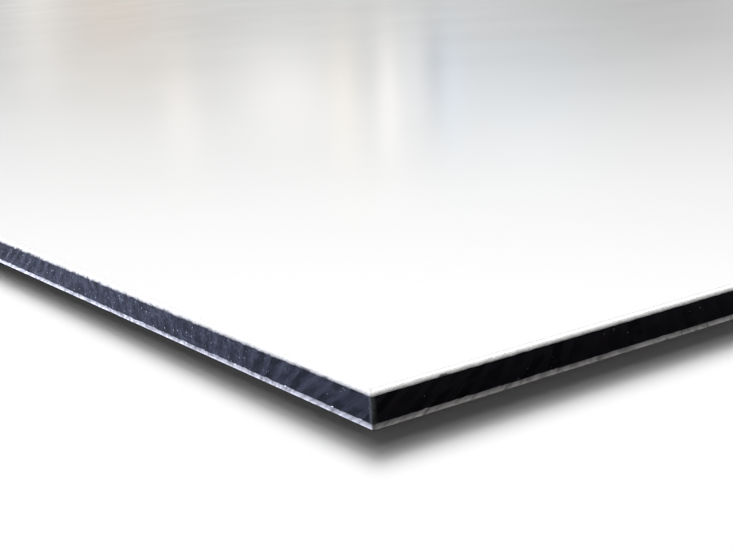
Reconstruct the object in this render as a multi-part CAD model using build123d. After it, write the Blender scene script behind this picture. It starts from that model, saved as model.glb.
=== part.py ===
from build123d import *
from math import radians, tan
import os

# Aluminium composite panel: a black polyethylene core bonded between two thin
# aluminium skins, cut to size on a panel saw. It lies flat, coated face up.
# All sizes are in millimetres.
# The origin is on the underside, at the centre of the panel. X runs along the
# length, Y along the width and Z up through the thickness.

# Sheet
PANEL_LENGTH = 600.0
PANEL_WIDTH = 400.0
BACK_SKIN_THICKNESS = 0.5
CORE_THICKNESS = 2.0
FRONT_SKIN_THICKNESS = 0.5

# Cut edge of the skins
CORNER_RADIUS = 0.25  # the four upright corners of every layer, eased by handling
FRONT_ARRIS_RADIUS = 0.14  # the saw enters here and rolls the coated face over
BACK_ARRIS_RADIUS = 0.08  # the saw leaves here, so the arris is crisper

# Tooth marks that the saw leaves in the soft core
MARK_PITCH = 2.0  # from one mark to the next, along the edge
MARK_DEPTH = 0.06  # how deep a mark bites behind the line of the skins
MARK_RAMP = 0.78  # share of the pitch taken by the long facet of a mark
MARK_SLANT = 29.0  # lean of a mark from upright, in degrees

# Heights of the layers
BACK_TOP = BACK_SKIN_THICKNESS
CORE_TOP = BACK_TOP + CORE_THICKNESS


def skin(thickness, bottom, arris_radius, arris_up):
    """One aluminium sheet, with the arris of its outer face rolled over."""
    outline = RectangleRounded(PANEL_LENGTH, PANEL_WIDTH, CORNER_RADIUS)
    sheet = Pos(0, 0, bottom) * extrude(outline, thickness)
    faces = sheet.faces().sort_by(Axis.Z)
    outer_face = faces[-1] if arris_up else faces[0]
    return fillet(outer_face.edges(), arris_radius)


def marked_edge(span, edge_y):
    """Points of one sawn edge in plan, along X at the height edge_y.

    The crests of the marks lie on edge_y, and their roots one depth inside it.
    """
    inward = -MARK_DEPTH if edge_y > 0 else MARK_DEPTH
    marks = int(span / MARK_PITCH) + 1
    start = -marks * MARK_PITCH / 2
    points = []
    for mark in range(marks):
        x = start + mark * MARK_PITCH
        points.append((x, edge_y))
        points.append((x + MARK_RAMP * MARK_PITCH, edge_y + inward))
    points.append((start + marks * MARK_PITCH, edge_y))
    return points


def marked_slab(length, width):
    """A slab of the core's thickness with tooth marks on its two long sides.

    The plan is drawn once and drawn out along the lean of the marks, so the
    marks climb the sides at that lean. The slab is over-long at both ends.
    """
    lean = CORE_THICKNESS * tan(radians(MARK_SLANT))
    span = length + 2 * (lean + MARK_PITCH)
    front = marked_edge(span, -width / 2)
    back = marked_edge(span, width / 2)
    plan = make_face(Polyline(*front, *reversed(back), close=True))
    along = Vector(lean, 0, CORE_THICKNESS)
    slab = extrude(plan, along.length, dir=along)
    return Pos(-lean / 2, 0, BACK_TOP) * slab


def corner_waste():
    """What lies outside the eased corners of the core, at all four of them."""
    centre_x = PANEL_LENGTH / 2 - CORNER_RADIUS
    centre_y = PANEL_WIDTH / 2 - CORNER_RADIUS
    reach = 2 * CORNER_RADIUS
    square = Rectangle(reach, reach, align=(Align.MIN, Align.MIN))
    waste = extrude(square - Circle(CORNER_RADIUS), CORE_THICKNESS)
    first = Pos(centre_x, centre_y, BACK_TOP) * waste
    pair = [first, mirror(first, about=Plane.YZ)]
    return pair + [mirror(piece, about=Plane.XZ) for piece in pair]


def core():
    """The polyethylene core, with tooth marks on all four cut sides."""
    long_sides = marked_slab(PANEL_LENGTH, PANEL_WIDTH)
    short_sides = Rot(0, 0, 90) * marked_slab(PANEL_WIDTH, PANEL_LENGTH)
    return (long_sides & short_sides) - corner_waste()


parts = {
    "back_skin": skin(BACK_SKIN_THICKNESS, 0, BACK_ARRIS_RADIUS, arris_up=False),
    "core": core(),
    "front_skin": skin(FRONT_SKIN_THICKNESS, CORE_TOP, FRONT_ARRIS_RADIUS, arris_up=True),
}

os.makedirs("parts", exist_ok=True)
for node, shape in parts.items():
    export_step(shape, f"parts/{node}.step")
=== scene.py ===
"""Looks of an aluminium composite panel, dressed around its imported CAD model.

The panel is a black polyethylene core between two thin aluminium skins. It lies
flat with its white coated face up, and its four edges are sawn. Lengths are in
metres, in the frame of the CAD model: X along the panel, Y across it, Z up.
"""

import logging
import math
from dataclasses import dataclass, fields
from enum import Enum
from functools import reduce
from typing import Any, ClassVar, Sequence, Union

import bpy
from mathutils import Matrix, Vector


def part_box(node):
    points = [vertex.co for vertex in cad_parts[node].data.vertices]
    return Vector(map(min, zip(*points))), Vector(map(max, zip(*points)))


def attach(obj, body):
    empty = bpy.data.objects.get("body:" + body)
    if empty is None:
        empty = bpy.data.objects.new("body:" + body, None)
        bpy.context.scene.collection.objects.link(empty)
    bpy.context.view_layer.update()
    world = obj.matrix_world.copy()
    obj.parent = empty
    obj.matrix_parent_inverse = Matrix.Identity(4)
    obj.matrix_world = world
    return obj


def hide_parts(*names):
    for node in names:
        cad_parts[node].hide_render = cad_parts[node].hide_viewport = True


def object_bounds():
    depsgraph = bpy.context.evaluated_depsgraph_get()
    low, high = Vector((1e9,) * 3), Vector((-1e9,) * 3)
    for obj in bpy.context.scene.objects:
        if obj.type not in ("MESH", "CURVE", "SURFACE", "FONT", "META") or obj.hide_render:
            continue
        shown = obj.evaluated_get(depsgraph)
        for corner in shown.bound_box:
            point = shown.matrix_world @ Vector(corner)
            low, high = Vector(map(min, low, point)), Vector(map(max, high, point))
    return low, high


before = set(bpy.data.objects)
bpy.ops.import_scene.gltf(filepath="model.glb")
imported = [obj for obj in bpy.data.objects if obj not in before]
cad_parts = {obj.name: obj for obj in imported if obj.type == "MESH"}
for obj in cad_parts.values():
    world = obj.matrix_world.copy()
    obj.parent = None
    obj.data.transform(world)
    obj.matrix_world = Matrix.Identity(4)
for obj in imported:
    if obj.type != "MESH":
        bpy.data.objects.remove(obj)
cad_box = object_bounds()

Socket = bpy.types.NodeSocket
Value = Union[float, int, bool, str, Sequence[float], bpy.types.ID, Socket]
Colour = tuple[float, float, float, float]
Triple = tuple[float, float, float]
Span = tuple[float, float]

LOG = logging.getLogger("panel")

MM = 0.001  # a millimetre in the scene's metres
HAIR = 0.01 * MM  # less than this apart counts as level
BODY = "root"  # the one body that every piece rides on
PHOTO_WIDTH = 733  # pixels
SENSOR_WIDTH = 36.0  # millimetres of film that the photo's width stands for
MIDDLE = (cad_box[0].z + cad_box[1].z) / 2  # height of the middle of the panel


class Sheet(Enum):
    """The CAD nodes that the dressed sheets stand for."""

    BACK_SKIN = "back_skin"
    CORE = "core"
    FRONT_SKIN = "front_skin"


class Slot(Enum):
    """The record's material slots."""

    COATING = "white_coating"
    CORE = "black_polyethylene"
    ALUMINIUM = "mill_aluminium"


class Wiring:
    """Adds nodes to one tree and joins them, in geometry and material trees alike."""

    def __init__(self, tree: bpy.types.NodeTree) -> None:
        """Keeps the tree that the nodes go into."""
        self.tree = tree

    def feed(self, socket: Socket, value: Value) -> None:
        """Links a socket to another one, or gives it a fixed value.

        Args:
            socket: The input to set.
            value: An output socket, or a plain value.
        """
        if isinstance(value, Socket):
            self.tree.links.new(value, socket)
        else:
            socket.default_value = value

    def node(self, kind: str, inputs: dict[Any, Value] | None = None, **settings: Any) -> bpy.types.Node:
        """Adds one node.

        Args:
            kind: Blender's type name of the node.
            inputs: Values or sockets by input name or number.
            settings: The node's own properties.

        Returns:
            The new node.
        """
        node = self.tree.nodes.new(kind)
        for name, setting in settings.items():
            setattr(node, name, setting)
        for key, value in (inputs or {}).items():
            self.feed(node.inputs[key], value)
        return node

    def result(self, kind: str, inputs: dict[Any, Value] | None = None, **settings: Any) -> Socket:
        """Adds one node, as node does, and gives its first output."""
        return self.node(kind, inputs, **settings).outputs[0]

    def math(self, operation: str, *values: Value) -> Socket:
        """Result of one arithmetic step on numbers, by Blender's name of it."""
        return self.result("ShaderNodeMath", dict(enumerate(values)), operation=operation)

    def times(self, *values: Value) -> Socket:
        """Product of two or more numbers."""
        return reduce(lambda product, value: self.math("MULTIPLY", product, value), values)

    def plus(self, *values: Value) -> Socket:
        """Sum of two or more numbers."""
        return reduce(lambda total, value: self.math("ADD", total, value), values)

    def minus(self, first: Value, second: Value) -> Socket:
        """The first number less the second."""
        return self.math("SUBTRACT", first, second)

    def over(self, first: Value, second: Value) -> Socket:
        """The first number divided by the second."""
        return self.math("DIVIDE", first, second)

    def vector(self, operation: str, *values: Value) -> Socket:
        """Result of one step on vectors, which is a number for DISTANCE and DOT_PRODUCT."""
        node = self.node("ShaderNodeVectorMath", dict(enumerate(values)), operation=operation)
        return node.outputs["Value" if operation in ("DISTANCE", "DOT_PRODUCT") else "Vector"]

    def scale(self, vector: Value, factor: Value) -> Socket:
        """A vector times a number."""
        return self.result("ShaderNodeVectorMath", {0: vector, "Scale": factor}, operation="SCALE")

    def combine(self, x: Value = 0.0, y: Value = 0.0, z: Value = 0.0) -> Socket:
        """A vector made from three numbers."""
        return self.result("ShaderNodeCombineXYZ", {"X": x, "Y": y, "Z": z})

    def split(self, vector: Socket) -> Sequence[Socket]:
        """The three numbers of a vector."""
        return self.node("ShaderNodeSeparateXYZ", {0: vector}).outputs[:3]

    def ramp(self, value: Value, low: Value, high: Value, to_low: Value = 0.0, to_high: Value = 1.0,
             smooth: bool = True) -> Socket:
        """Maps a number from one range to another and holds it there.

        Args:
            value: The number.
            low: Where the range starts.
            high: Where the range ends.
            to_low: Result at and below the start.
            to_high: Result at and beyond the end.
            smooth: Eases in and out in place of a straight line.

        Returns:
            The mapped number's socket.
        """
        return self.result(
            "ShaderNodeMapRange",
            {"Value": value, "From Min": low, "From Max": high, "To Min": to_low, "To Max": to_high},
            interpolation_type="SMOOTHSTEP" if smooth else "LINEAR",
        )

    def noise(self, vector: Value, scale: Value, detail: float = 2.0, roughness: float = 0.5,
              distortion: float = 0.0) -> Socket:
        """Cloudy noise from 0 to 1.

        Args:
            vector: Where to read it.
            scale: Lumps in one unit of that vector.
            detail: Octaves of finer lumps.
            roughness: Strength of the finer lumps.
            distortion: How much the lumps swirl.

        Returns:
            The noise's socket.
        """
        return self.result(
            "ShaderNodeTexNoise",
            {"Vector": vector, "Scale": scale, "Detail": detail, "Roughness": roughness,
             "Distortion": distortion},
        )

    def blend(self, share: Value, first: Value, second: Value) -> Socket:
        """Mixes two colours.

        Args:
            share: How much of the second colour, from 0 to 1.
            first: The colour at 0.
            second: The colour at 1.

        Returns:
            The mixed colour's socket.
        """
        node = self.node("ShaderNodeMix", {"Factor": share}, data_type="RGBA")
        colour_sockets = [s for s in node.inputs if s.type == "RGBA"]
        self.feed(colour_sockets[0], first)
        self.feed(colour_sockets[1], second)
        return next(s for s in node.outputs if s.type == "RGBA")


def rgba(red: float, green: float, blue: float) -> Colour:
    """An opaque colour, in linear light."""
    return red, green, blue, 1.0


@dataclass(frozen=True)
class ToothMarks:
    """Layout of the saw's tooth marks, which the sawn sheets and their finishes share.

    A place is told by its side, which is x + y, and its height, both in
    millimetres. Along a cut edge the side grows with the way along it.
    """

    pitch: float = 2.0
    lean: float = math.radians(29.0)  # usual lean of a mark from upright
    swing: float = 1.7  # the slope of the marks swings by this share of itself, either way
    swing_period: float = 68.0
    swing_crest: float = 99.0  # side where they lean the most
    wander: float = 0.7  # in pitches
    fray_period: float = 140.0
    fray_crest: float = 50.0  # side where the blade tears the most

    def _wave(self, wiring: Wiring, side: Socket, crest: float, period: float) -> Socket:
        """A cosine along the edge, with a crest at one side."""
        turn = wiring.minus(side, crest)
        return wiring.math("COSINE", wiring.times(turn, math.tau / period))

    def slope(self, wiring: Wiring, side: Socket) -> Socket:
        """How far the marks run along the edge for each step up: it swings, as the feed was uneven."""
        wave = self._wave(wiring, side, self.swing_crest, self.swing_period)
        return wiring.times(wiring.plus(wiring.times(wave, self.swing), 1.0), math.tan(self.lean))

    def fray(self, wiring: Wiring, side: Socket) -> Socket:
        """Slow change along the edge from 0 to 1, as the blade runs hotter and tears more."""
        wave = self._wave(wiring, side, self.fray_crest, self.fray_period)
        return wiring.plus(wiring.times(wave, 0.5), 0.5)

    def turns(self, wiring: Wiring, reach: Socket, height: Socket) -> tuple[Socket, Socket]:
        """Which mark a place lies in, and where across it.

        Args:
            wiring: The tree to add to.
            reach: The side, less the way that the marks run along it up to this height.
            height: The height.

        Returns:
            The mark's number, and the share of the pitch from its start.
        """
        # The third number of a place only tells one noise from another.
        drift = wiring.noise(wiring.combine(reach, height, 7.0), scale=0.45, roughness=0.6)
        shift = wiring.times(wiring.minus(drift, 0.5), self.wander)
        turns = wiring.plus(wiring.over(reach, self.pitch), shift)
        number = wiring.math("FLOOR", turns)
        return number, wiring.minus(turns, number)


class GeometryTree(Wiring):
    """A Geometry Nodes tree with named inputs, which is run once to make a mesh."""

    def __init__(self, name: str) -> None:
        """Starts an empty tree.

        Args:
            name: Name of the tree.
        """
        super().__init__(bpy.data.node_groups.new(name, "GeometryNodeTree"))
        for way in ("OUTPUT", "INPUT"):
            self.tree.interface.new_socket(name="Geometry", in_out=way, socket_type="NodeSocketGeometry")
        self.entry = self.tree.nodes.new("NodeGroupInput")
        self.identifiers: dict[str, str] = {}

    def ask(self, *names: str, kind: str = "Float") -> Sequence[Socket]:
        """Adds named inputs.

        Args:
            names: What the inputs are called.
            kind: Float, Int or Material.

        Returns:
            The inputs' sockets inside the tree, in the same order.
        """
        for name in names:
            item = self.tree.interface.new_socket(
                name=name, in_out="INPUT", socket_type=f"NodeSocket{kind}"
            )
            self.identifiers[name] = item.identifier
        return [self.entry.outputs[name] for name in names]

    def join(self, *geometries: Socket) -> Socket:
        """Several geometries as one.

        Args:
            geometries: The geometries in order.

        Returns:
            The joined geometry.
        """
        node = self.node("GeometryNodeJoinGeometry")
        for geometry in geometries:
            self.feed(node.inputs[0], geometry)
        return node.outputs[0]

    def move(self, geometry: Socket, **where: Value) -> Socket:
        """Moves the points of a geometry to a Position or by an Offset."""
        return self.result("GeometryNodeSetPosition", {"Geometry": geometry, **where})

    def dress(self, geometry: Socket, finish: Socket, selection: Value = True) -> Socket:
        """Gives a material to the selected faces of a geometry."""
        return self.result(
            "GeometryNodeSetMaterial", {"Geometry": geometry, "Selection": selection, "Material": finish}
        )

    def close(self, geometry: Socket) -> None:
        """Ends the tree with its finished geometry."""
        self.node("NodeGroupOutput", {0: geometry})

    def grow(self, name: str, sizes: Any, base: bpy.types.Mesh | None = None,
             **more: Value) -> bpy.types.Object:
        """Runs the tree on a new object and keeps the result as a plain mesh.

        Args:
            name: Name of the new piece.
            sizes: A dataclass whose fields are inputs of the tree of the same name.
            base: The mesh that the tree starts from, if it needs one.
            more: The tree's other inputs, named as the fields are.

        Returns:
            The object, with no modifier left on it.
        """
        piece = bpy.data.objects.new(name, base or bpy.data.meshes.new(name))
        bpy.context.scene.collection.objects.link(piece)
        modifier = piece.modifiers.new(self.tree.name, "NODES")
        modifier.node_group = self.tree
        values = {field.name: getattr(sizes, field.name) for field in fields(sizes)} | more
        for label, value in values.items():
            modifier[self.identifiers[label.replace("_", " ").title()]] = value
        graph = bpy.context.evaluated_depsgraph_get()
        mesh = bpy.data.meshes.new_from_object(piece.evaluated_get(graph), depsgraph=graph)
        mesh.name = name
        piece.modifiers.remove(modifier)
        piece.data = mesh
        return piece


class SawnSheetTree(GeometryTree):
    """One flat sheet with four sawn sides, made for either skin and for the core.

    A section is swept round the outline, then bitten by slanted tooth marks and
    torn by noise. The two flat faces are filled in up to a grid in the middle.
    """

    WELD = 0.002 * MM  # points closer than this become one
    FOOT = (0.1 * MM, 0.45 * MM)  # heights between which the foot of the cut runs out
    FURTHEST_OUT = -0.02 * MM  # no point of the cut stands out further than this
    OFF_CORNER = (0.5 * MM, 6.0 * MM)  # the marks start to lean between these distances
    LIP = 0.2 * MM  # height of a ragged lip
    MARK_SHARES = (0.45, 1.25)  # the shallowest and the deepest mark, in usual depths
    SHREDS = (0.38, 0.66)  # levels of the noise from where to where a lip turns ragged
    WAVES_FROM = 12.0  # margins in from the edge where the waves reach their full depth

    def __init__(self, teeth: ToothMarks) -> None:
        """Builds the whole tree.

        Args:
            teeth: Layout of the tooth marks.
        """
        super().__init__("sawn_sheet")
        self.teeth = teeth
        self.length, self.width, self.bottom, self.top = self.ask("Length", "Width", "Bottom", "Top")
        self.corner_radius, self.setback, self.sharp_angle = self.ask(
            "Corner Radius", "Setback", "Sharp Angle")
        self.top_round, self.bottom_round = self.ask("Top Round", "Bottom Round")
        self.flange, self.margin, self.waviness = self.ask("Flange", "Margin", "Waviness")
        self.column, self.row = self.ask("Column", "Row")
        self.top_cell, self.bottom_cell, self.top_reach = self.ask("Top Cell", "Bottom Cell", "Top Reach")
        self.mark_height, self.mark_depth, self.mark_ramp = self.ask(
            "Mark Height", "Mark Depth", "Mark Ramp")
        self.tear_depth, self.tear_size = self.ask("Tear Depth", "Tear Size")
        self.burr_up, self.burr_down, self.burr_proud = self.ask("Burr Up", "Burr Down", "Burr Proud")
        self.foot_proud, self.foot_fill = self.ask("Foot Proud", "Foot Fill")
        self.seed, self.corner_steps = self.ask("Seed", "Corner Steps", kind="Int")
        self.top_finish, self.cut_finish, self.bottom_finish = self.ask(
            "Top Finish", "Cut Finish", "Bottom Finish", kind="Material")
        self.position = self.result("GeometryNodeInputPosition")
        self.index = self.result("GeometryNodeInputIndex")

        outline = self._outline()
        band = self._cut_edge(outline)
        upper = self._flat_face(outline, self.top, self.top_cell)
        lower = self._flat_face(outline, self.bottom, self.bottom_cell)
        turned = self.result("GeometryNodeFlipFaces", {"Mesh": lower})
        sheet = self.join(turned, upper, band)
        welded = self.result("GeometryNodeMergeByDistance", {"Geometry": sheet, "Distance": self.WELD})
        flat = self._capture(welded, {"place": self.position})
        shaded = self._shading(self._waves(flat.outputs["Geometry"]))
        real = self.result("GeometryNodeRealizeInstances", {"Geometry": shaded})
        self.close(self._finishes(real, flat.outputs["place"]))

    def _even_steps(self, curve: Socket, step: Socket) -> Socket:
        """Cuts each stretch of a curve into even steps.

        Args:
            curve: The curve, closed or open.
            step: About how long a step is.

        Returns:
            The curve with its new points.
        """
        size = self.node("GeometryNodeAttributeDomainSize", {0: curve}, component="CURVE")
        following = self.math("MODULO", self.plus(self.index, 1.0), size.outputs["Point Count"])
        ahead = self.result(
            "GeometryNodeFieldAtIndex", {"Index": following, "Value": self.position},
            data_type="FLOAT_VECTOR", domain="POINT",
        )
        steps = self.math("ROUND", self.over(self.vector("DISTANCE", self.position, ahead), step))
        cuts = self.math("MAXIMUM", self.minus(steps, 1.0), 0.0)
        return self.result("GeometryNodeSubdivideCurve", {"Curve": curve, "Cuts": cuts})

    def _outline(self) -> Socket:
        """The panel's outline in plan.

        Returns:
            A closed curve, with a point for each column of the cut edge.
        """
        oblong = self.result(
            "GeometryNodeCurvePrimitiveQuadrilateral", {"Width": self.length, "Height": self.width},
            mode="RECTANGLE",
        )
        eased = self.result(
            "GeometryNodeFilletCurve",
            {"Curve": oblong, "Count": self.corner_steps, "Radius": self.corner_radius}, mode="POLY",
        )
        return self._even_steps(eased, self.column)

    def _half_plan(self) -> Socket:
        """Half of the panel's length and width."""
        return self.scale(self.combine(self.length, self.width), 0.5)

    def _inside(self, place: Socket) -> Sequence[Socket]:
        """How far a place lies inside the panel's ends and inside its sides."""
        ends = self.vector("SUBTRACT", self._half_plan(), self.vector("ABSOLUTE", place))
        return self.split(ends)[:2]

    def _outward(self) -> Socket:
        """The level direction that points straight out of the outline at a point of it.

        Returns:
            The direction, one unit long.
        """
        eased = self.combine(self.corner_radius, self.corner_radius)
        corner = self.vector("SUBTRACT", self._half_plan(), eased)
        opposite = self.scale(corner, -1.0)
        inside = self.vector("MINIMUM", self.vector("MAXIMUM", self.position, opposite), corner)
        return self.vector("NORMALIZE", self.vector("SUBTRACT", self.position, inside))

    def _section(self) -> Socket:
        """The sheet's section at its edge.

        Returns:
            An open curve: X is how far in from the outline, Y is the height.
        """
        corners = (
            self.combine(self.flange, self.top),
            self.combine(self.setback, self.top),
            self.combine(self.setback, self.bottom),
            self.combine(self.flange, self.bottom),
        )
        line = self.result("GeometryNodeMeshLine", {"Count": len(corners)})
        placed = self.move(line, Position=self._pick(corners, "VECTOR"))
        upper_steps, lower_steps = 5.0, 1.0
        eased = self.result(
            "GeometryNodeFilletCurve",
            {"Curve": self.result("GeometryNodeMeshToCurve", {"Mesh": placed}),
             "Count": self._pick((0.0, upper_steps, lower_steps, 0.0)),
             "Radius": self._pick((0.0, self.top_round, self.bottom_round, 0.0)), "Limit Radius": True},
            mode="POLY",
        )
        return self._even_steps(eased, self.row)

    def _pick(self, choices: Sequence[Value], kind: str = "FLOAT") -> Socket:
        """One of several values for each point, by the point's number.

        Args:
            choices: The values in order.
            kind: FLOAT or VECTOR.

        Returns:
            The chosen value's socket.
        """
        node = self.node("GeometryNodeIndexSwitch", data_type=kind)
        while len(node.index_switch_items) < len(choices):
            node.index_switch_items.new()
        for number, choice in enumerate((self.index, *choices)):
            self.feed(node.inputs[number], choice)
        return node.outputs[0]

    def _capture(self, geometry: Socket, places: dict[str, Socket]) -> bpy.types.Node:
        """Stores vector fields on the points of a geometry.

        Args:
            geometry: Where to store them.
            places: The fields by name.

        Returns:
            The node, with one output for each name.
        """
        node = self.node("GeometryNodeCaptureAttribute", {"Geometry": geometry}, domain="POINT")
        for name, value in places.items():
            node.capture_items.new("VECTOR", name)
            self.feed(node.inputs[name], value)
        return node

    def _cut_edge(self, outline: Socket) -> Socket:
        """Sweeps the section round the outline, then saws and tears it.

        Args:
            outline: The panel's outline.

        Returns:
            The closed band of the cut edge, open only towards the two flat faces.
        """
        path = self._capture(outline, {"foot": self.position, "outward": self._outward()})
        section = self._capture(self._section(), {"place": self.position})
        sweep = self.result(
            "GeometryNodeCurveToMesh",
            {"Curve": path.outputs["Geometry"], "Profile Curve": section.outputs["Geometry"]},
        )
        foot, outward = path.outputs["foot"], path.outputs["outward"]
        inset, height, _ = self.split(section.outputs["place"])
        facing = self.minus(1.0, self.over(inset, self.flange))

        slope = self.teeth.slope(self, self._side(foot))
        centre = self.times(self.plus(self.bottom, self.top), 0.5)
        climb = self.times(self.minus(height, centre), slope)
        shift = self.times(climb, facing, self._off_corner(foot))
        plan = self.vector("ADD", foot, self.scale(self._along(outward), shift))

        reach = self._reach(plan, height, slope)
        bite = self.plus(self._marks(reach, height), self._tears(reach, height))
        up, down, proud = self._burrs(reach, height)
        low = self.ramp(self.minus(height, self.bottom), *self.FOOT, 1.0, 0.0)
        bite = self.times(bite, self.minus(1.0, self.times(low, self.foot_fill)))
        depth = self.minus(self.minus(bite, proud), self.times(low, self.foot_proud))
        total = self.plus(inset, self.times(self.math("MAXIMUM", depth, self.FURTHEST_OUT), facing))
        level = self.plus(height, self.times(self.minus(up, down), facing))
        place = self.vector("SUBTRACT", plan, self.scale(outward, total))
        return self.move(sweep, Position=self.vector("ADD", place, self.combine(z=level)))

    def _along(self, outward: Socket) -> Socket:
        """The level direction in which the marks lean, from the way that an edge faces."""
        x, y, _ = self.split(self.vector("ABSOLUTE", outward))
        return self.combine(y, x)

    def _off_corner(self, foot: Socket) -> Socket:
        """0 at the panel's corners and 1 a few millimetres from them."""
        from_end, from_side = self._inside(foot)
        return self.ramp(self.math("MAXIMUM", from_end, from_side), *self.OFF_CORNER)

    def _side(self, place: Socket) -> Socket:
        """A place's x + y, in millimetres."""
        x, y, _ = self.split(place)
        return self.over(self.plus(x, y), MM)

    def _reach(self, plan: Socket, height: Socket, slope: Socket) -> Socket:
        """How far along the edge a point is, in millimetres, on lines that lean with the marks."""
        climb = self.over(self.minus(height, self.mark_height), MM)
        return self.minus(self._side(plan), self.times(climb, slope))

    def _marks(self, reach: Socket, height: Socket) -> Socket:
        """The tooth marks: each has a long facet, a short one and its own depth.

        Args:
            reach: How far along the edge, in millimetres.
            height: The height in the section.

        Returns:
            The depth of the marks.
        """
        number, part = self.teeth.turns(self, reach, self.over(height, MM))
        falling = self.over(part, self.mark_ramp)
        rising = self.over(self.minus(1.0, part), self.minus(1.0, self.mark_ramp))
        draw = self.node("FunctionNodeRandomValue", {"ID": number, "Seed": self.seed}, data_type="FLOAT")
        share = self.ramp(draw.outputs[1], 0.0, 1.0, *self.MARK_SHARES, smooth=False)
        return self.times(self.math("MINIMUM", falling, rising), self.times(self.mark_depth, share))

    def _tears(self, reach: Socket, height: Socket) -> Socket:
        """Fine lumps and hollows that the blade leaves, drawn out along the marks.

        Args:
            reach: How far along the edge, in millimetres.
            height: The height in the section.

        Returns:
            The depth of the hollows, which is below 0 for a lump.
        """
        drawn_out = 0.45
        place = self.combine(reach, self.times(self.over(height, MM), drawn_out), self.seed)
        lumps = self.noise(place, self.over(MM, self.tear_size), detail=3.0, roughness=0.6)
        return self.times(self.minus(lumps, 0.5), self.times(self.tear_depth, 2.0))

    def _burrs(self, reach: Socket, height: Socket) -> tuple[Socket, Socket, Socket]:
        """Ragged lips of the cut face.

        Args:
            reach: How far along the edge, in millimetres.
            height: The height in the section.

        Returns:
            How far up the upper lip is drawn, how far down the lower one is, and
            how far both stand out.
        """
        near_top = self.ramp(self.minus(self.top, height), 0.0, self.LIP, 1.0, 0.0)
        near_bottom = self.ramp(self.minus(height, self.bottom), 0.0, self.LIP, 1.0, 0.0)
        long_shreds = self.noise(self.combine(reach, self.seed), scale=1.3, detail=4.0, roughness=0.7)
        ragged = self.ramp(long_shreds, *self.SHREDS, smooth=False)
        drawn = self.times(ragged, self.ramp(self.teeth.fray(self, reach), 0.1, 0.8, 0.8, 2.2))
        up = self.times(self.burr_up, ragged, near_top)
        down = self.times(self.burr_down, drawn, near_bottom)
        near_lip = self.math("MAXIMUM", near_top, near_bottom)
        return up, down, self.times(self.burr_proud, ragged, near_lip)

    def _flat_face(self, outline: Socket, height: Socket, cell: Socket) -> Socket:
        """One flat face: a grid in the middle and a frame of triangles out to the cut edge.

        Args:
            outline: The panel's outline.
            height: The face's height.
            cell: Size of the grid's squares.

        Returns:
            The face's mesh, facing up.
        """
        rim = self.move(outline, Offset=self.scale(self._outward(), self.times(self.flange, -1.0)))
        spans = [self.minus(size, self.times(self.margin, 2.0)) for size in (self.length, self.width)]
        points = [self.plus(self.math("ROUND", self.over(span, cell)), 1.0) for span in spans]
        grid = self.result(
            "GeometryNodeMeshGrid",
            {"Size X": spans[0], "Size Y": spans[1], "Vertices X": points[0], "Vertices Y": points[1]},
        )
        neighbours = self.result("GeometryNodeInputMeshEdgeNeighbors")
        border = self.result(
            "FunctionNodeCompare", {2: neighbours, 3: 1}, data_type="INT", operation="EQUAL"
        )
        hole = self.result("GeometryNodeMeshToCurve", {"Mesh": grid, "Selection": border})
        filled = self.result("GeometryNodeFillCurve", {"Curve": self.join(rim, hole)}, mode="TRIANGLES")
        return self.move(self.join(grid, filled), Offset=self.combine(z=height))

    def _waves(self, geometry: Socket) -> Socket:
        """Lets the upper face sink by a hair here and there, as rolled sheet does.

        Args:
            geometry: The sheet's mesh.

        Returns:
            The mesh with its upper face sunk.
        """
        x, y, z = self.split(self.position)
        from_edge = self.math("MINIMUM", *self._inside(self.position))
        inner = self.ramp(from_edge, self.margin, self.times(self.margin, self.WAVES_FROM))
        is_top = self.ramp(z, self.minus(self.top, HAIR), self.minus(self.top, HAIR / 2))
        swell = self.noise(self.combine(x, self.times(y, 1.6)), scale=9.0, detail=1.0)
        drop = self.times(swell, self.waviness, self.times(inner, is_top))
        return self.move(geometry, Offset=self.combine(z=self.times(drop, -1.0)))

    def _shading(self, geometry: Socket) -> Socket:
        """Shades the faces smoothly, but keeps the corners of the section crisp.

        Args:
            geometry: The sheet's mesh.

        Returns:
            The shaded mesh.
        """
        faces = self.result("GeometryNodeSetShadeSmooth", {"Geometry": geometry}, domain="FACE")
        angle = self.node("GeometryNodeInputMeshEdgeAngle").outputs["Unsigned Angle"]
        crisp = self.math("GREATER_THAN", angle, self.sharp_angle)
        return self.result(
            "GeometryNodeSetShadeSmooth", {"Geometry": faces, "Selection": crisp, "Shade Smooth": False},
            domain="EDGE",
        )

    def _finishes(self, geometry: Socket, place: Socket) -> Socket:
        """Gives the cut edge and the two faces their materials.

        Args:
            geometry: The sheet's mesh.
            place: Where each point was before the upper face sank.

        Returns:
            The dressed mesh.
        """
        _, _, z = self.split(place)
        above = self.math("GREATER_THAN", z, self.minus(self.top, self.top_reach))
        below = self.math("LESS_THAN", z, self.plus(self.bottom, HAIR))
        topped = self.dress(self.dress(geometry, self.cut_finish), self.top_finish, above)
        return self.dress(topped, self.bottom_finish, below)


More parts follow.
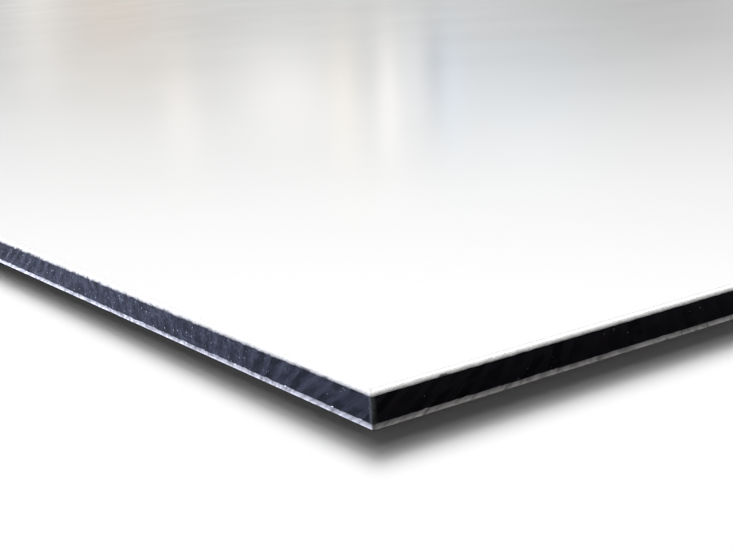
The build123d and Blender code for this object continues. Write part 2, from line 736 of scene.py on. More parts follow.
class CrumbTree(GeometryTree):
    """Crumbs of saw dust that cling to a sawn edge."""

    def __init__(self) -> None:
        """Builds the whole tree, which starts from the mesh that the crumbs cling to."""
        super().__init__("saw_crumbs")
        density, flattest, smallest, largest = self.ask("Density", "Face Tilt", "Smallest", "Largest")
        half_length, half_width = self.ask("Half Length", "Half Width")
        seed, = self.ask("Seed", kind="Int")
        finish, = self.ask("Finish", kind="Material")

        _, _, tilt = self.split(self.vector("ABSOLUTE", self.result("GeometryNodeInputNormal")))
        upright = self.math("LESS_THAN", tilt, flattest)
        position = self.result("GeometryNodeInputPosition")
        patches = self.ramp(self.noise(position, scale=160.0), 0.42, 0.68)
        scatter = self.result(
            "GeometryNodeDistributePointsOnFaces",
            {"Mesh": self.entry.outputs["Geometry"], "Selection": upright,
             "Density": self.times(density, patches), "Seed": seed},
            distribute_method="RANDOM",
        )
        crumb = self.result("GeometryNodeMeshIcoSphere", {"Radius": 1.0, "Subdivisions": 1})
        size = self.result(
            "FunctionNodeRandomValue",
            {0: self.combine(smallest, smallest, smallest), 1: self.combine(largest, largest, largest),
             "Seed": seed},
            data_type="FLOAT_VECTOR",
        )
        turn = self.result(
            "FunctionNodeRandomValue", {0: (0.0,) * 3, 1: (math.tau,) * 3}, data_type="FLOAT_VECTOR"
        )
        placed = self.result(
            "GeometryNodeInstanceOnPoints",
            {"Points": scatter, "Instance": crumb, "Rotation": turn, "Scale": size},
        )
        real = self.result("GeometryNodeRealizeInstances", {"Geometry": placed})
        limit = self.combine(half_length, half_width, 1.0)
        held = self.vector("MAXIMUM", self.vector("MINIMUM", position, limit), self.scale(limit, -1.0))
        self.close(self.dress(self.move(real, Position=held), finish))


class ShaderGroup(Wiring):
    """A shader node group with named inputs and outputs."""

    def __init__(self, name: str, inputs: dict[str, float], outputs: Sequence[str]) -> None:
        """Starts the group.

        Args:
            name: Name of the group.
            inputs: Numbers that it takes after the place to read, with their usual values.
            outputs: Names of the numbers that it gives.
        """
        super().__init__(bpy.data.node_groups.new(name, "ShaderNodeTree"))
        new_socket = self.tree.interface.new_socket
        new_socket(name="Place", in_out="INPUT", socket_type="NodeSocketVector")
        for label, usual in inputs.items():
            item = new_socket(name=label, in_out="INPUT", socket_type="NodeSocketFloat")
            item.default_value = usual
        for label in outputs:
            new_socket(name=label, in_out="OUTPUT", socket_type="NodeSocketFloat")
        self.entry = self.tree.nodes.new("NodeGroupInput")
        self.exit = self.tree.nodes.new("NodeGroupOutput")

    def given(self, name: str) -> Socket:
        """One of the group's inputs, seen from inside."""
        return self.entry.outputs[name]

    def give(self, name: str, value: Socket) -> None:
        """Sends a value out of the group."""
        self.feed(self.exit.inputs[name], value)


class SawScratchGroup(ShaderGroup):
    """Slanted scratches, torn lumps, and the painted shade of the tooth marks of a sawn face."""

    def __init__(self, teeth: ToothMarks) -> None:
        """Builds the group. Place is in millimetres.

        Args:
            teeth: Layout of the tooth marks.
        """
        super().__init__(
            "saw_scratches",
            {"Fineness": 6.0, "Drawn Out": 6.0},
            ("Scratches", "Lumps", "Marks", "Fray", "Grain"),
        )
        x, y, z = self.split(self.given("Place"))
        side = self.plus(x, y)
        reach = self.minus(side, self.times(self.minus(z, MIDDLE / MM), teeth.slope(self, side)))
        fineness = self.given("Fineness")
        grain = self.noise(self.combine(reach, self.times(z, 1.2), 5.0), scale=3.0, roughness=0.7)
        drawn = self.combine(reach, self.over(z, self.given("Drawn Out")))
        scratches = self.noise(drawn, fineness, detail=4.0, roughness=0.62)
        coarse = self.times(fineness, 0.28)
        place = self.combine(reach, self.times(z, 0.7), 3.0)
        lumps = self.noise(place, coarse, detail=3.0, roughness=0.55, distortion=0.4)
        self.give("Grain", grain)
        self.give("Scratches", scratches)
        self.give("Lumps", lumps)
        # Marks: painted shade of the tooth marks, for the core's colour
        self.give("Marks", self._marks(*teeth.turns(self, reach, z), self.combine(reach, z)))
        self.give("Fray", teeth.fray(self, reach))

    def _marks(self, number: Socket, part: Socket, place: Socket) -> Socket:
        """Painted shade of the tooth marks: 1 on the part of a mark drawn dark, and 0 elsewhere.

        Args:
            number: The mark's number.
            part: The share of the pitch from its start.
            place: The way along the edge and the height.

        Returns:
            The strength of the painted shade.
        """
        start = self.ramp(part, 0.0, 0.1)
        end = self.ramp(part, 0.5, 0.74, 1.0, 0.0)
        chance = self.result("ShaderNodeTexWhiteNoise", {"W": number}, noise_dimensions="1D")
        strength = self.ramp(chance, 0.0, 0.8, 0.4, 1.0, smooth=False)
        reach, height, _ = self.split(place)
        patch = self.noise(self.combine(self.times(reach, 0.45), height, 11.0), scale=0.9, detail=1.0)
        return self.times(start, end, self.times(strength, self.ramp(patch, 0.32, 0.6, 0.1, 1.0)))


class SpeckleGroup(ShaderGroup):
    """Sparse round specks."""

    def __init__(self) -> None:
        """Builds the group. Place is in millimetres, and Spacing is between specks."""
        super().__init__("speckle", {"Spacing": 2.0, "Size": 0.05, "Share": 0.3}, ("Specks",))
        cells = self.node(
            "ShaderNodeTexVoronoi",
            {"Vector": self.given("Place"), "Scale": self.over(1.0, self.given("Spacing"))},
            feature="F1",
        )
        distance = self.times(cells.outputs["Distance"], self.given("Spacing"))
        dot = self.ramp(distance, self.times(self.given("Size"), 0.5), self.given("Size"), 1.0, 0.0)
        chance = self.result("ShaderNodeSeparateColor", {0: cells.outputs["Color"]})
        self.give("Specks", self.times(dot, self.math("LESS_THAN", chance, self.given("Share"))))


class Paint(Wiring):
    """A material with one Principled shader."""

    def __init__(self, name: str) -> None:
        """Starts the material.

        Args:
            name: Name of the material.
        """
        self.material = bpy.data.materials.new(name)
        self.material.use_nodes = True
        super().__init__(self.material.node_tree)
        self.tree.nodes.clear()
        self.shader = self.node("ShaderNodeBsdfPrincipled")
        output = self.node("ShaderNodeOutputMaterial", {"Surface": self.shader.outputs[0]})
        output.is_active_output = True
        place = self.node("ShaderNodeTexCoord").outputs["Object"]
        self.place = self.scale(place, 1.0 / MM)

    def set(self, **values: Value) -> None:
        """Sets inputs of the shader, by name with underscores for spaces."""
        for name, value in values.items():
            self.feed(self.shader.inputs[name.replace("_", " ")], value)

    def use(self, group: ShaderGroup, **values: Value) -> Sequence[Socket]:
        """Places a shared group.

        Args:
            group: The group.
            values: Its inputs, by name with underscores for spaces.

        Returns:
            The group's outputs in order.
        """
        inputs = {name.replace("_", " "): value for name, value in values.items()}
        node = self.node("ShaderNodeGroup", node_tree=group.tree)
        for name, value in {"Place": self.place, **inputs}.items():
            self.feed(node.inputs[name], value)
        return node.outputs[:]

    def bump(self, height: Socket, depth: float) -> None:
        """Raises the surface by a pattern from 0 to 1, which is so many metres deep."""
        bump = self.result("ShaderNodeBump", {"Height": height, "Distance": depth, "Strength": 1.0})
        self.set(Normal=bump)


@dataclass(frozen=True)
class Groups:
    """The node groups that more than one finish uses."""

    scratches: SawScratchGroup
    speckle: SpeckleGroup


@dataclass(frozen=True)
class GlossCoating:
    """White gloss coil coating: almost smooth, with faint orange peel and dust."""

    colour: Colour = rgba(0.87, 0.87, 0.865)
    dusty: Colour = rgba(0.80, 0.80, 0.79)
    haze: float = 0.12  # most of the dusty colour in a cloud of dust
    roughness: float = 0.11
    handling: float = 0.02  # what handling adds to the roughness
    peel_size: float = 1.6  # millimetres
    peel_depth: float = 0.0012 * MM

    def build(self, groups: Groups) -> bpy.types.Material:
        """Makes the material.

        Args:
            groups: The shared node groups.

        Returns:
            The material.
        """
        paint = Paint("white_gloss_coating")
        cloud = paint.noise(paint.place, scale=0.012, detail=3.0)
        dust, = paint.use(groups.speckle, Spacing=9.0, Size=0.12, Share=0.35)
        tone = paint.blend(paint.ramp(cloud, 0.35, 0.75, 0.0, self.haze), self.colour, self.dusty)
        handled = paint.noise(paint.place, scale=0.03, detail=3.0)
        paint.set(
            Base_Color=paint.blend(paint.times(dust, 0.5), tone, self.dusty),
            Roughness=paint.ramp(handled, 0.3, 0.8, self.roughness, self.roughness + self.handling),
            IOR=1.5,
            Specular_IOR_Level=0.5,
        )
        peel = paint.noise(paint.place, scale=1.0 / self.peel_size, detail=1.0)
        paint.bump(paint.plus(peel, paint.times(dust, 0.6)), self.peel_depth)
        return paint.material


@dataclass(frozen=True)
class SawnAluminium:
    """Bright cut edge of a skin, with slanted scratches and painted shade that darkens it over a band of
    its height.
    """

    name: str
    shade_full: float  # height in millimetres where the painted shade is full
    shade_none: float  # height in millimetres where the painted shade ends
    frayed_none: float  # the same where the blade tears more
    bright: Colour
    dull: Colour
    roughness: Span
    # colour of the painted shade
    smear: Colour = rgba(0.05, 0.05, 0.06)
    shade_cover: float = 0.6  # how much of the metal's sheen the painted shade takes away
    ragged: Span = (0.3, 1.1)  # millimetres that the painted shade's edge wanders, as the blade tears more
    lump_share: float = 0.6  # share of the lumps in that wander: the grain has the rest
    worn_levels: Span = (0.45, 0.72)  # levels of the lumps from bright to dull
    grain_levels: Span = (0.40, 0.58)  # the same for the grain, where the blade tears more
    scratch_depth: float = 0.006 * MM

    def build(self, groups: Groups) -> bpy.types.Material:
        """Makes the material.

        Args:
            groups: The shared node groups.

        Returns:
            The material.
        """
        paint = Paint(self.name)
        scratches, lumps, _, fray, grain = paint.use(groups.scratches, Fineness=7.0, Drawn_Out=5.0)
        _, _, height = paint.split(paint.place)
        grain_part = paint.times(grain, 1.0 - self.lump_share)
        torn = paint.plus(paint.times(lumps, self.lump_share), grain_part)
        ragged = paint.times(paint.minus(torn, 0.5), paint.ramp(fray, 0.2, 1.0, *self.ragged))
        none = paint.ramp(fray, 0.3, 1.0, self.shade_none, self.frayed_none)
        # painted shade: 1 over a band of heights, fading to 0 with a ragged edge
        painted_dark = paint.ramp(paint.plus(height, ragged), self.shade_full, none, 1.0, 0.0, smooth=False)
        mottled = paint.times(paint.ramp(fray, 0.4, 0.9), paint.ramp(grain, *self.grain_levels))
        blotches = paint.math("MAXIMUM", paint.ramp(lumps, *self.worn_levels), mottled)
        paint.set(
            Base_Color=paint.blend(painted_dark, paint.blend(blotches, self.bright, self.dull), self.smear),
            Metallic=paint.minus(1.0, paint.times(painted_dark, self.shade_cover)),
            Roughness=paint.ramp(scratches, 0.3, 0.7, *self.roughness),
        )
        paint.bump(paint.plus(scratches, paint.times(lumps, 1.5)), self.scratch_depth)
        return paint.material


@dataclass(frozen=True)
class MillAluminium:
    """Bare rolled face of a skin, with long faint lines along the panel."""

    bright: Colour = rgba(0.80, 0.81, 0.83)
    dull: Colour = rgba(0.68, 0.69, 0.71)
    roughness: Span = (0.26, 0.40)
    line_stretch: Triple = (0.01, 5.0, 1.0)  # the lines run along X and lie close across Y
    line_depth: float = 0.0015 * MM

    def build(self, groups: Groups) -> bpy.types.Material:
        """Makes the material.

        Args:
            groups: The shared node groups.

        Returns:
            The material.
        """
        paint = Paint("mill_finish_aluminium")
        drawn = paint.vector("MULTIPLY", paint.place, self.line_stretch)
        lines = paint.noise(drawn, scale=1.0, detail=4.0)
        stain = paint.noise(paint.place, scale=0.02, detail=4.0)
        pits, = paint.use(groups.speckle, Spacing=6.0, Size=0.15, Share=0.3)
        blotches = paint.math("MAXIMUM", paint.ramp(stain, 0.4, 0.8), pits)
        paint.set(
            Base_Color=paint.blend(blotches, self.bright, self.dull),
            Metallic=1.0,
            Roughness=paint.ramp(lines, 0.3, 0.7, *self.roughness),
        )
        paint.bump(lines, self.line_depth)
        return paint.material


@dataclass(frozen=True)
class SawnPolyethylene:
    """Black polyethylene core: tooth marks drawn dark in painted shade between torn, blue-grey ones,
    painted shade on the short sides and a painted highlight on the upright corners.
    """

    # colour of the painted shade on the tooth marks
    deep: Colour = rgba(0.0064, 0.0070, 0.0100)
    plain: Colour = rgba(0.0185, 0.0200, 0.0285)
    torn: Colour = rgba(0.073, 0.080, 0.108)
    # colour of the painted highlight on the corners
    scuffed: Colour = rgba(0.095, 0.098, 0.108)
    crosscut: Colour = rgba(0.61, 0.50, 0.46)  # painted shade on the two short sides: a darker, warmer tint
    crosscut_depth: Span = (0.15, 0.4)  # millimetres in from the ends over which the painted shade fades
    speck: Colour = rgba(0.42, 0.43, 0.48)
    roughness: Span = (0.42, 0.62)
    fibre_levels: Span = (0.36, 0.72)  # levels of the scratches from plain to torn
    patch_levels: Span = (0.34, 0.64)  # levels of the lumps from plain to torn
    fibre_share: float = 0.45  # share of the scratches in the tearing: the lumps have the rest
    least_torn: float = 0.06  # share of the tearing where the blade tears the least
    grain_levels: Span = (0.35, 0.65)
    grain_gain: Span = (0.2, 1.9)  # what the grain multiplies the tearing by
    pressed: Span = (0.95, 0.4)  # how strong the painted shade of a tooth mark is, as the blade tears more
    tear_depth: float = 0.012 * MM

    def build(self, groups: Groups) -> bpy.types.Material:
        """Makes the material.

        Args:
            groups: The shared node groups.

        Returns:
            The material.
        """
        paint = Paint("sawn_polyethylene")
        scratches, lumps, marks, fray, grain = paint.use(groups.scratches, Fineness=3.6, Drawn_Out=2.2)
        fibres = paint.times(paint.ramp(scratches, *self.fibre_levels), self.fibre_share)
        patches = paint.times(paint.ramp(lumps, *self.patch_levels), 1.0 - self.fibre_share)
        share = paint.ramp(fray, 0.0, 1.0, self.least_torn, 1.0, smooth=False)
        strength = paint.ramp(grain, *self.grain_levels, *self.grain_gain, smooth=False)
        mottled = paint.times(paint.plus(fibres, patches), paint.ramp(fray, 0.1, 0.8, 1.0, strength))
        surface = paint.blend(paint.times(mottled, share), self.plain, self.torn)
        # painted shade: tooth marks drawn darker, as facets turned away from the light look
        pressed = paint.times(marks, paint.ramp(fray, 0.2, 0.8, *self.pressed))
        cut = paint.blend(pressed, surface, self.deep)
        # painted shade on the short sides
        ends_shaded = paint.vector("MULTIPLY", cut, self._crosscut(paint))
        # painted highlight on the upright corners
        body = paint.blend(self._corner_highlight(paint), ends_shaded, self.scuffed)
        specks, = paint.use(groups.speckle, Spacing=0.42, Size=0.085, Share=0.35)
        shown = paint.times(specks, paint.ramp(fray, 0.3, 0.9))
        paint.set(
            Base_Color=paint.blend(shown, body, self.speck),
            Roughness=paint.ramp(scratches, 0.3, 0.7, *self.roughness),
            Specular_IOR_Level=0.01,
            IOR=1.5,
        )
        paint.bump(paint.plus(scratches, paint.times(lumps, 1.4)), self.tear_depth)
        return paint.material

    def _crosscut(self, paint: Paint) -> Socket:
        """Painted shade on the two short sides: a darker, warmer tint.

        Args:
            paint: The material to add to.

        Returns:
            The colour to multiply by.
        """
        x, _, _ = paint.split(paint.vector("ABSOLUTE", paint.place))
        inside = paint.ramp(paint.minus(cad_box[1].x / MM, x), *self.crosscut_depth)
        return paint.blend(inside, self.crosscut, rgba(1.0, 1.0, 1.0))

    def _corner_highlight(self, paint: Paint) -> Socket:
        """Painted highlight on the four upright corners, in blotches.

        Args:
            paint: The material to add to.

        Returns:
            Its share, from 0 to 1.
        """
        x, y, _ = paint.split(paint.vector("ABSOLUTE", paint.place))
        from_end = paint.minus(cad_box[1].x / MM, x)
        from_side = paint.minus(cad_box[1].y / MM, y)
        blotches = paint.ramp(paint.noise(paint.place, scale=2.2), 0.35, 0.6, 0.5, 1.0)
        near = paint.ramp(paint.math("MAXIMUM", from_end, from_side), 0.1, 0.55, 1.0, 0.0)
        return paint.times(near, blotches)


@dataclass(frozen=True)
class CrumbFinish:
    """Pale crumbs of coating and metal."""

    pale: Colour = rgba(0.62, 0.62, 0.66)
    grey: Colour = rgba(0.10, 0.10, 0.12)
    roughness: float = 0.6
    grain_depth: float = 0.02 * MM

    def build(self) -> bpy.types.Material:
        """Makes the material.

        Returns:
            The material.
        """
        paint = Paint("saw_dust_crumbs")
        mix = paint.ramp(paint.noise(paint.place, scale=1.7, detail=1.0), 0.42, 0.6)
        paint.set(Base_Color=paint.blend(mix, self.grey, self.pale), Roughness=self.roughness)
        paint.bump(paint.noise(paint.place, scale=22.0), self.grain_depth)
        return paint.material


@dataclass(frozen=True)
class Finishes:
    """Every material of the panel."""

    coating: bpy.types.Material
    front_cut: bpy.types.Material
    back_cut: bpy.types.Material
    mill_metal: bpy.types.Material
    plastic: bpy.types.Material
    crumbs: bpy.types.Material

    @classmethod
    def build(cls, teeth: ToothMarks) -> "Finishes":
        """Makes the materials around one set of shared groups.

        Args:
            teeth: Layout of the tooth marks.

        Returns:
            The materials.
        """
        groups = Groups(SawScratchGroup(teeth), SpeckleGroup())
        # front skin's cut: painted shade along its lower edge, next to the core
        front_cut = SawnAluminium(
            "sawn_front_skin", shade_full=2.39, shade_none=2.78, frayed_none=2.67,
            bright=rgba(0.90, 0.89, 0.88), dull=rgba(0.66, 0.65, 0.64), roughness=(0.18, 0.27),
        )
        # back skin's cut: the same sawn metal as the front cut in a darker copy, which is painted shade,
        # with more painted shade over its upper part, fading out towards the floor
        back_cut = SawnAluminium(
            "sawn_back_skin", shade_full=0.58, shade_none=0.08, frayed_none=0.14,
            bright=rgba(0.47, 0.46, 0.45), dull=rgba(0.22, 0.21, 0.205), roughness=(0.34, 0.50),
        )
        return cls(
            coating=GlossCoating().build(groups),
            front_cut=front_cut.build(groups),
            back_cut=back_cut.build(groups),
            mill_metal=MillAluminium().build(groups),
            plastic=SawnPolyethylene().build(groups),
            crumbs=CrumbFinish().build(),
        )


def settle(piece: bpy.types.Object, stands_for: Sheet | None = None) -> bpy.types.Object:
    """Fixes a finished piece to the panel's body.

    Args:
        piece: The piece.
        stands_for: The CAD node that it takes the place of, if any.

    Returns:
        The same piece.
    """
    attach(piece, BODY)
    if stands_for is not None:
        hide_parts(stands_for.value)
    LOG.info("%s: %d faces", piece.name, len(piece.data.polygons))
    return piece


@dataclass
class SawnSheet:
    """A flat sheet with four sawn sides. Its fields are the tree's inputs of the same name."""

    sheet: ClassVar[Sheet]
    slot: ClassVar[Slot]

    top_finish: bpy.types.Material
    cut_finish: bpy.types.Material
    bottom_finish: bpy.types.Material
    seed: int = 0
    corner_radius: float = 0.25 * MM
    corner_steps: int = 4
    top_round: float = 0.0
    bottom_round: float = 0.0
    setback: float = 0.025 * MM  # how far behind the panel's outline the cut lies
    flange: float = 0.2 * MM  # how far in the finely divided rim of a face reaches
    margin: float = 3.0 * MM  # how far in the even grid of a face starts
    column: float = 0.3 * MM  # length of the cut edge's squares
    row: float = 0.17 * MM  # height of the cut edge's squares
    top_cell: float = 12.0 * MM  # size of the upper face's squares
    bottom_cell: float = 12.0 * MM
    mark_depth: float = 0.012 * MM
    mark_ramp: float = 0.78  # share of the pitch taken by the long facet of a mark
    tear_depth: float = 0.01 * MM
    tear_size: float = 0.8 * MM
    burr_up: float = 0.0  # how far the upper lip is drawn up
    burr_down: float = 0.0  # how far the lower lip is drawn down
    burr_proud: float = 0.01 * MM  # how far the lips stand out
    foot_proud: float = 0.0  # how far the foot of the cut stands out
    foot_fill: float = 0.0  # share of the marks that is filled in at the foot
    waviness: float = 0.0
    top_reach: float = 0.01 * MM  # how far down the arris the top's finish comes
    sharp_angle: float = math.radians(38.0)

    def build(self, tree: SawnSheetTree) -> bpy.types.Object:
        """Makes and dresses the sheet.

        Args:
            tree: The tree that makes it.

        Returns:
            The finished piece.
        """
        sheet = self.sheet
        low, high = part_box(sheet.value)
        piece = tree.grow(
            f"{sheet.value}_sheet", self, length=high.x - low.x, width=high.y - low.y,
            bottom=low.z, top=high.z, mark_height=MIDDLE,
        )
        return settle(piece, sheet)


@dataclass
class FrontSkin(SawnSheet):
    """The coated skin, its arris rolled over and its lower lip drawn down over the core."""

    sheet = Sheet.FRONT_SKIN
    slot = Slot.COATING
    seed: int = 4
    top_round: float = 0.14 * MM
    bottom_round: float = 0.02 * MM
    top_cell: float = 4.0 * MM
    burr_down: float = 0.09 * MM
    burr_proud: float = 0.012 * MM
    waviness: float = 0.04 * MM
    top_reach: float = 0.015 * MM


@dataclass
class BackSkin(SawnSheet):
    """The bare skin that the panel lies on."""

    sheet = Sheet.BACK_SKIN
    slot = Slot.ALUMINIUM
    seed: int = 9
    top_round: float = 0.02 * MM
    bottom_round: float = 0.08 * MM
    bottom_cell: float = 4.0 * MM
    burr_up: float = 0.015 * MM


@dataclass
class Core(SawnSheet):
    """The polyethylene core, with the saw's tooth marks on all four sides."""

    sheet = Sheet.CORE
    slot = Slot.CORE
    seed: int = 2
    setback: float = 0.035 * MM
    column: float = 0.25 * MM
    row: float = 0.25 * MM
    mark_depth: float = 0.07 * MM
    tear_depth: float = 0.02 * MM
    tear_size: float = 0.9 * MM
    burr_down: float = 0.06 * MM
    burr_proud: float = 0.008 * MM
    foot_proud: float = 0.022 * MM
    foot_fill: float = 0.9
    top_reach: float = 0.0


@dataclass
class Crumbs:
    """Saw dust on the core's sawn sides. Its fields are the tree's inputs of the same name."""

    finish: bpy.types.Material
    density: float = 0.9e6  # crumbs in a square metre where they lie thickest
    smallest: float = 0.012 * MM
    largest: float = 0.045 * MM
    face_tilt: float = 0.5  # only faces more upright than this hold crumbs
    seed: int = 5

    def build(self, core: bpy.types.Object) -> bpy.types.Object:
        """Scatters the crumbs.

        Args:
            core: The finished core.

        Returns:
            The crumbs, joined in one mesh.
        """
        high = cad_box[1]
        piece = CrumbTree().grow(
            "saw_crumbs", self, core.data.copy(), half_length=high.x, half_width=high.y
        )
        return settle(piece)


@dataclass(frozen=True)
class SkyLight:
    """One part of the soft light from behind: sun-like, so that it is even over the panel."""

    towards: Triple  # from the panel to the light
    angle: float  # its breadth as the panel sees it
    share: float  # its share of the light on the floor


@dataclass(frozen=True)
class Streak:
    """An upright band of the room that the coating mirrors, such as the side of a window."""

    azimuth: float  # degrees to the right of the photo's line of sight
    breadth: float  # degrees
    colour: Triple  # what it adds to the room's brightness
    low: float = 4.4  # degrees above the horizon where it starts
    high: float = 10.5  # degrees above the horizon where it ends
    fade: float = 4.1  # degrees over which it ends
    fade_in: float = 2.2  # degrees over which it starts


@dataclass
class Studio:
    """Plain pale floor, white surroundings and soft light."""

    floor_reach: float = 40.0
    floor_colour: Colour = rgba(1.0, 1.0, 1.0)
    floor_light: float = 0.95  # light on the floor: a white surface looks this bright
    near: SkyLight = SkyLight((-1.66, 0.98, 1.0), math.radians(17.5), 0.33)
    low: SkyLight = SkyLight((-1.92, 1.25, 1.0), math.radians(12.0), 0.43)
    wide: SkyLight = SkyLight((-1.43, 0.84, 1.0), math.radians(37.0), 0.24)
    ambient: float = 0.065
    line_of_sight: float = math.radians(56.57)  # as the photo's camera
    tilt: float = math.radians(4.088)  # how far the photo is turned against the room
    photo_sides: float = 18.0  # degrees to either side that the photo's face mirrors
    photo_middle: float = 7.0  # degrees up in the middle of what it mirrors
    photo_top: float = 13.0  # degrees up at the top of what it mirrors
    horizon_glow: float = 0.42
    wall: Span = (6.1, 14.0)  # degrees up from where to where the glow grows to the wall's
    wall_glow: float = 1.25
    ceiling: Span = (14.0, 21.0)
    ceiling_glow: float = 1.68
    overhead: Span = (19.2, 23.5)
    overhead_glow: float = 1.0
    plain: Span = (18.0, 34.0)  # degrees aside from where to where the room turns plain
    plain_glow: float = 0.8
    streaks: tuple[Streak, ...] = (
        Streak(-12.3, 1.0, (0.18, 0.17, 0.16), 0.0, 8.0, 2.0),
        Streak(-9.3, 3.0, (0.08, 0.01, -0.07), 0.0, 8.4, 2.0),
        Streak(-6.85, 0.75, (0.32, 0.27, 0.22), 5.8, 10.2, 2.0),
        Streak(-2.65, 2.0, (0.62, 0.58, 0.53), 5.0, 10.1),
        Streak(-0.35, 0.6, (0.27, 0.19, 0.08), 4.4, 10.9, 2.0),
        Streak(1.42, 0.48, (0.50, 0.46, 0.41), 4.4, 10.4, 2.0),
        Streak(2.4, 0.5, (0.31, 0.32, 0.34), 4.4, 9.4),
        Streak(3.25, 0.45, (-0.24, -0.22, -0.18), 4.4, 10.5),
        Streak(3.95, 0.5, (-0.02, 0.09, 0.21), 4.4, 11.0),
        Streak(6.5, 3.5, (-0.07, 0.0, 0.08), 4.4, 11.0),
        Streak(7.3, 2.4, (0.09, 0.10, 0.11), 7.2, 12.0, 3.0),
        Streak(11.8, 5.2, (-0.21, -0.21, -0.21), 0.0, 8.0, 2.4),
        Streak(55.0, 7.0, (0.20, 0.20, 0.20), 5.2, 12.5),
        Streak(115.0, 26.0, (4.6, 4.6, 4.6), -5.0, 50.0),
        Streak(-34.0, 8.0, (-0.12, -0.12, -0.12), 5.2, 12.5),
        Streak(-140.0, 8.0, (0.20, 0.20, 0.20), 5.2, 12.5),
        Streak(82.0, 25.0, (0.50, 0.50, 0.50), 22.0, 80.0),
        Streak(-24.0, 18.0, (0.90, 0.90, 0.90), 21.0, 50.0),
        Streak(12.0, 22.0, (0.80, 0.80, 0.80), 26.5, 75.0),
    )
    side_from: Triple = (-0.77, -0.60, 0.0075)
    side_distance: float = 1.6
    side_size: Span = (1.0, 0.02)
    side_power: float = 44.5
    side_colour: Triple = (0.88, 0.94, 1.18)

    def build(self, panel: Sequence[bpy.types.Object]) -> None:
        """Sets the stage.

        Args:
            panel: The pieces that the side light is for.
        """
        self._floor()
        self._surroundings()
        for light in (self.near, self.low, self.wide):
            self._sky_light(light)
        self._side_light(panel)

    def _floor(self) -> None:
        """A level floor that the panel lies on."""
        mesh = bpy.data.meshes.new("floor")
        quarters = ((-1, -1), (1, -1), (1, 1), (-1, 1))
        corners = [(x * self.floor_reach, y * self.floor_reach, 0.0) for x, y in quarters]
        mesh.from_pydata(corners, [], [range(len(corners))])
        floor = bpy.data.objects.new("floor", mesh)
        paint = Paint("pale_floor")
        paint.set(Base_Color=self.floor_colour, Roughness=1.0, Specular_IOR_Level=0.0)
        mesh.materials.append(paint.material)
        bpy.context.scene.collection.objects.link(floor)

    def _surroundings(self) -> None:
        """White to the camera, a room in reflections and a little light all round."""
        world = bpy.data.worlds.new("white_room")
        world.use_nodes = True
        bpy.context.scene.world = world
        wiring = Wiring(world.node_tree)
        wiring.tree.nodes.clear()
        direction = wiring.node("ShaderNodeTexCoord").outputs["Generated"]
        light_path = wiring.node("ShaderNodeLightPath")
        one_bounce = 1.0
        unscattered = wiring.math("LESS_THAN", light_path.outputs["Diffuse Depth"], one_bounce)
        in_mirror = wiring.times(light_path.outputs["Is Glossy Ray"], unscattered)
        mirrored = wiring.scale(self._room(wiring, direction), in_mirror)
        lit = wiring.vector("MAXIMUM", mirrored, (self.ambient,) * 3)
        camera = light_path.outputs["Is Camera Ray"]
        seen = wiring.vector("MAXIMUM", lit, wiring.combine(camera, camera, camera))
        background = wiring.node("ShaderNodeBackground", {"Color": seen, "Strength": 1.0})
        wiring.node("ShaderNodeOutputWorld", {"Surface": background.outputs[0]})
        world.cycles.sampling_method = "NONE"

    def _room(self, wiring: Wiring, direction: Socket) -> Socket:
        """What the gloss of the panel mirrors: dim at the horizon, bright above, faintly streaked.

        Args:
            wiring: The world's tree.
            direction: Where the mirrored ray goes.

        Returns:
            The room's colour in that direction.
        """
        _, _, z = wiring.split(direction)
        elevation = wiring.math("DEGREES", wiring.math("ARCSINE", z))
        sine, cosine = math.sin(self.line_of_sight), math.cos(self.line_of_sight)
        ahead = wiring.vector("DOT_PRODUCT", direction, (-sine, cosine, 0.0))
        right = wiring.vector("DOT_PRODUCT", direction, (cosine, sine, 0.0))
        azimuth = wiring.math("DEGREES", wiring.math("ARCTAN2", right, ahead))

        sides, middle, top = self.photo_sides, self.photo_middle, self.photo_top
        aside = wiring.ramp(azimuth, -sides, sides, -sides * self.tilt, sides * self.tilt, smooth=False)
        upward = wiring.ramp(
            elevation, 0.0, top, -middle * self.tilt, (top - middle) * self.tilt, smooth=False
        )
        row = wiring.minus(elevation, aside)
        column = wiring.plus(azimuth, upward)

        wall = wiring.ramp(row, *self.wall, self.horizon_glow, self.wall_glow, smooth=False)
        step_up = self.ceiling_glow - self.wall_glow
        step_down = self.overhead_glow - self.ceiling_glow
        rise = wiring.ramp(elevation, *self.ceiling, 0.0, step_up, smooth=False)
        fall = wiring.ramp(elevation, *self.overhead, 0.0, step_down)
        height = wiring.plus(wall, rise, fall)
        base = wiring.ramp(wiring.math("ABSOLUTE", azimuth), *self.plain, height, self.plain_glow)
        colour = wiring.combine(base, base, base)
        for streak in self.streaks:
            start = wiring.ramp(row, streak.low, streak.low + streak.fade_in)
            end = wiring.ramp(row, streak.high - streak.fade, streak.high, 1.0, 0.0)
            offset = wiring.over(wiring.minus(column, streak.azimuth), streak.breadth)
            across = wiring.math("EXPONENT", wiring.times(offset, offset, -1.0))
            glow = wiring.scale(streak.colour, wiring.times(across, wiring.times(start, end)))
            colour = wiring.vector("ADD", colour, glow)
        return colour

    def _hang(self, lamp: bpy.types.Light, towards: Vector) -> bpy.types.Object:
        """Puts a lamp into the scene, turned to the panel.

        Args:
            lamp: The lamp.
            towards: From the panel to the lamp.

        Returns:
            The lamp's object.
        """
        light = bpy.data.objects.new(lamp.name, lamp)
        light.rotation_mode = "QUATERNION"
        light.rotation_quaternion = towards.to_track_quat("Z", "Y")
        bpy.context.scene.collection.objects.link(light)
        return light

    def _sky_light(self, part: SkyLight) -> None:
        """Adds one part of the light from behind the panel.

        Args:
            part: Where it is and how strong.
        """
        towards = Vector(part.towards).normalized()
        lamp = bpy.data.lights.new("sky_light", "SUN")
        lamp.angle = part.angle
        lamp.energy = math.pi * self.floor_light * part.share / towards.z
        self._hang(lamp, towards).visible_glossy = False

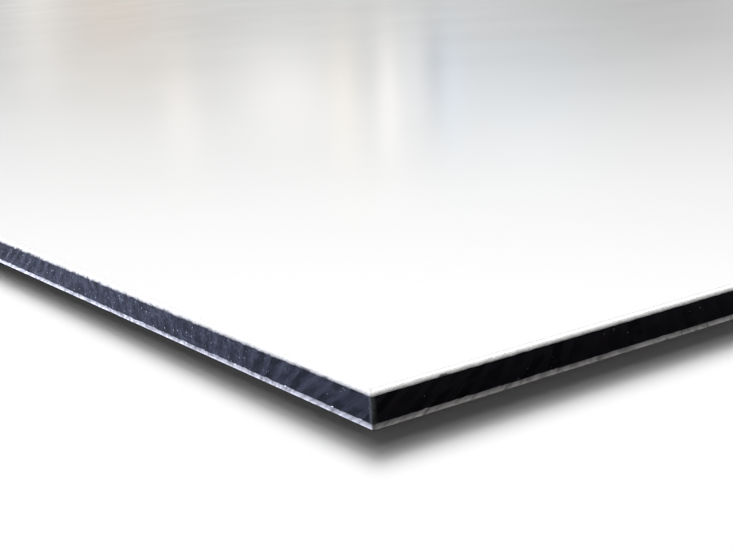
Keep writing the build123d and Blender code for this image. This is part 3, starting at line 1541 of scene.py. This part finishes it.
    def _side_light(self, panel: Sequence[bpy.types.Object]) -> None:
        """A low soft light on the long front edge, for the panel only and with no bounce.

        Args:
            panel: The pieces that it falls on.
        """
        low, high = cad_box
        towards = Vector(self.side_from).normalized()
        lamp = bpy.data.lights.new("side_light", "AREA")
        lamp.shape = "RECTANGLE"
        lamp.size, lamp.size_y = self.side_size
        lamp.energy = self.side_power
        lamp.color = self.side_colour
        lamp.cycles.max_bounces = 0
        light = self._hang(lamp, towards)
        light.location = Vector((high.x, low.y, MIDDLE)) + towards * self.side_distance
        light.visible_camera = False
        lit = bpy.data.collections.new("lit_by_side_light")
        for piece in panel:
            lit.objects.link(piece)
        light.light_linking.receiver_collection = lit


@dataclass
class PhotoCamera:
    """The photograph's viewpoint, worked out from the lines of the panel's two cut edges."""

    from_corner: Triple = (77.15 * MM, -50.54 * MM, 34.85 * MM)
    azimuth: float = math.radians(56.587)
    pitch: float = math.radians(14.465)
    roll: float = math.radians(-4.088)
    focal_pixels: float = 1436.3
    clip: Span = (1.0 * MM, 200.0)

    def build(self) -> None:
        """Makes the camera and hands it to the scene."""
        low, high = cad_box
        corner = Vector((high.x, low.y, low.z))
        forward = Vector((
            -math.sin(self.azimuth) * math.cos(self.pitch),
            math.cos(self.azimuth) * math.cos(self.pitch),
            -math.sin(self.pitch),
        ))
        level = Vector((math.cos(self.azimuth), math.sin(self.azimuth), 0.0))
        upright = level.cross(forward)
        right = level * math.cos(self.roll) + upright * math.sin(self.roll)
        up = upright * math.cos(self.roll) - level * math.sin(self.roll)
        data = bpy.data.cameras.new("photo_camera")
        data.sensor_fit = "HORIZONTAL"
        data.sensor_width = SENSOR_WIDTH
        data.lens = self.focal_pixels * SENSOR_WIDTH / PHOTO_WIDTH
        data.clip_start, data.clip_end = self.clip
        camera = bpy.data.objects.new("photo_camera", data)
        turn = Matrix((right, up, -forward)).transposed().to_4x4()
        camera.matrix_world = Matrix.Translation(corner + Vector(self.from_corner)) @ turn
        bpy.context.scene.collection.objects.link(camera)
        bpy.context.scene.camera = camera


def main() -> None:
    """Builds the panel and its studio."""
    logging.basicConfig(level=logging.INFO, format="%(name)s: %(message)s")
    bpy.context.scene.view_settings.view_transform = "Standard"
    teeth = ToothMarks()
    finishes = Finishes.build(teeth)
    tree = SawnSheetTree(teeth)
    core = Core(finishes.plastic, finishes.plastic, finishes.plastic).build(tree)
    pieces = [
        BackSkin(finishes.mill_metal, finishes.back_cut, finishes.mill_metal).build(tree),
        core,
        FrontSkin(finishes.coating, finishes.front_cut, finishes.mill_metal).build(tree),
        Crumbs(finishes.crumbs).build(core),
    ]
    Studio().build(pieces)
    PhotoCamera().build()


if __name__ == "__main__":
    main()
